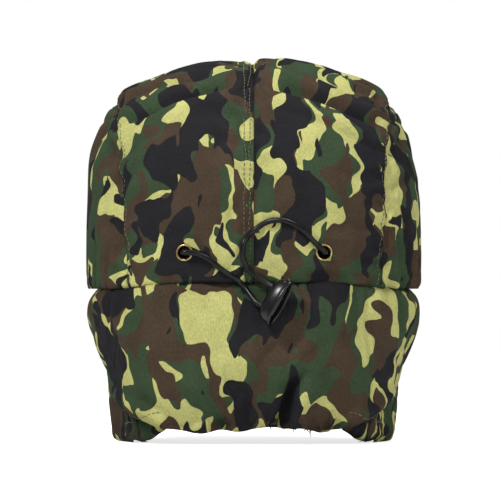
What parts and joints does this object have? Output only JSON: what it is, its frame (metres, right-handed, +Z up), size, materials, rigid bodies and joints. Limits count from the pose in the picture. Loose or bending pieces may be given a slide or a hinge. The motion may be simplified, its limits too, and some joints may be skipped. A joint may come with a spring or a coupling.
{
  "type": "trapper hat",
  "caption": "Padded camouflage trapper hat with fold-up ear flaps, a gathered neck flap, a turned-up front flap and an elastic drawcord with a bell toggle at the back.",
  "frame": {"origin": "bottom centre of the hat's bounding box, on the level the flaps stand on", "axes": "+Z up, +Y the way the wearer faces, +X the wearer's right"},
  "size_m": [0.22, 0.2728, 0.2492],
  "materials": {
    "camouflage": "woven cotton with a printed woodland pattern in black, brown, dark green and yellow-green",
    "padding": "polyester wadding",
    "lining": "brushed lining",
    "fur": "short faux fur pile",
    "tape": "woven tape",
    "elastic": "braided flat elastic",
    "strap": "webbing",
    "hook": "hook tape",
    "cord": "round elastic cord with a smooth braided cover",
    "brass": "satin, slightly tarnished",
    "plastic": "glossy moulded"
  },
  "bodies": {
    "crown": {"crown_centre_left": "camouflage", "crown_centre_right": "camouflage", "crown_side_left": "camouflage", "crown_side_right": "camouflage", "crown_padding": "padding", "crown_lining": "lining", "sweatband": "lining", "cord_channel_tape": "tape", "eyelet_left": "brass", "eyelet_right": "brass", "eyelet_washer_left": "brass", "eyelet_washer_right": "brass", "drawcord": "cord", "neck_flap_shell": "camouflage", "neck_flap_padding": "padding", "neck_flap_fur": "fur", "neck_elastic": "elastic"},
    "ear_flap_left": {"ear_flap_left_shell": "camouflage", "ear_flap_left_padding": "padding", "ear_flap_left_fur": "fur"},
    "ear_flap_right": {"ear_flap_right_shell": "camouflage", "ear_flap_right_padding": "padding", "ear_flap_right_fur": "fur"},
    "front_flap": {"front_flap_shell": "camouflage", "front_flap_padding": "padding", "front_flap_fur": "fur"},
    "chin_strap_left": {"chin_strap_left": "strap", "chin_hook_patch": "hook"},
    "chin_strap_right": {"chin_strap_right": "strap", "chin_loop_patch": "strap"},
    "toggle": {"toggle_shell": "plastic", "toggle_insert": "plastic"}
  },
  "joints": [
    {"name": "ear_flap_left_fold", "type": "hinge", "parent": "crown", "child": "ear_flap_left", "pos_m": [-0.111, 0, 0.099], "axis": [0, 1, 0], "range_deg": [0, 172]},
    {"name": "ear_flap_right_fold", "type": "hinge", "parent": "crown", "child": "ear_flap_right", "pos_m": [0.111, 0, 0.099], "axis": [0, -1, 0], "range_deg": [0, 172]},
    {"name": "front_flap_fold", "type": "hinge", "parent": "crown", "child": "front_flap", "pos_m": [0, 0.1169, 0.099], "axis": [-1, 0, 0], "range_deg": [0, 140]},
    {"name": "chin_strap_left_swing", "type": "hinge", "parent": "ear_flap_left", "child": "chin_strap_left", "pos_m": [-0.0646, 0.04, 0.018], "axis": [0, 0, 1], "range_deg": [0, 90]},
    {"name": "chin_strap_right_swing", "type": "hinge", "parent": "ear_flap_right", "child": "chin_strap_right", "pos_m": [0.0646, 0.0355, 0.018], "axis": [0, 0, -1], "range_deg": [0, 90]},
    {"name": "toggle_pull", "type": "slide", "parent": "crown", "child": "toggle", "axis": [0.8746, 0, -0.4848], "range_m": [0, 0.012], "stiffness_N_per_m": 120, "deforming": ["drawcord"]}
  ]
}
